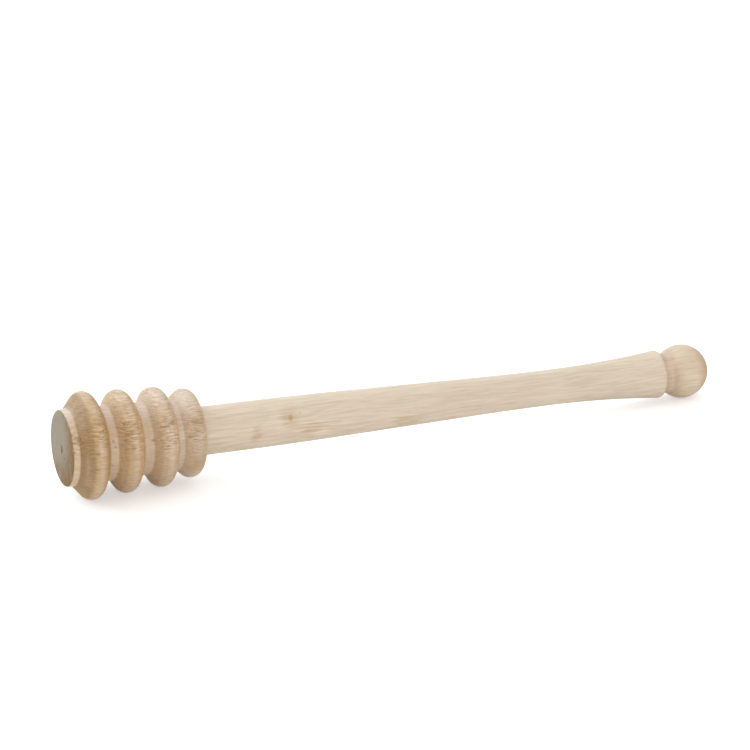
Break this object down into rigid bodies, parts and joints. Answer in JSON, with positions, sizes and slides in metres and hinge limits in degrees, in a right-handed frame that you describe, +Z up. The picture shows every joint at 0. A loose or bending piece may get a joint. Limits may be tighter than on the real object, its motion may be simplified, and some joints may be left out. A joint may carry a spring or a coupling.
{
  "type": "honey dipper",
  "caption": "Turned wooden honey dipper: a ringed head with a flat front, glued on the tenon of a tapered handle with a ball end.",
  "frame": {"origin": "on the table, under the middle of the box that the lying dipper fills", "axes": "+Z up from the table, +X along the dipper from the head's flat front towards the ball, +Y across it. The dipper rests on its front ring and its ball, so its own axis drops 2.2 degrees towards +X."},
  "size_m": [0.1652, 0.0248, 0.0249],
  "materials": {
    "head_wood": "tan close-grained wood, turned and sanded, no varnish",
    "handle_wood": "pale straight-grained wood, turned and sanded, no varnish",
    "wood_glue": "set wood glue, hidden in the joint"
  },
  "bodies": {
    "root": {"head": "head_wood", "handle": "handle_wood", "glue_film": "wood_glue"}
  },
  "joints": []
}
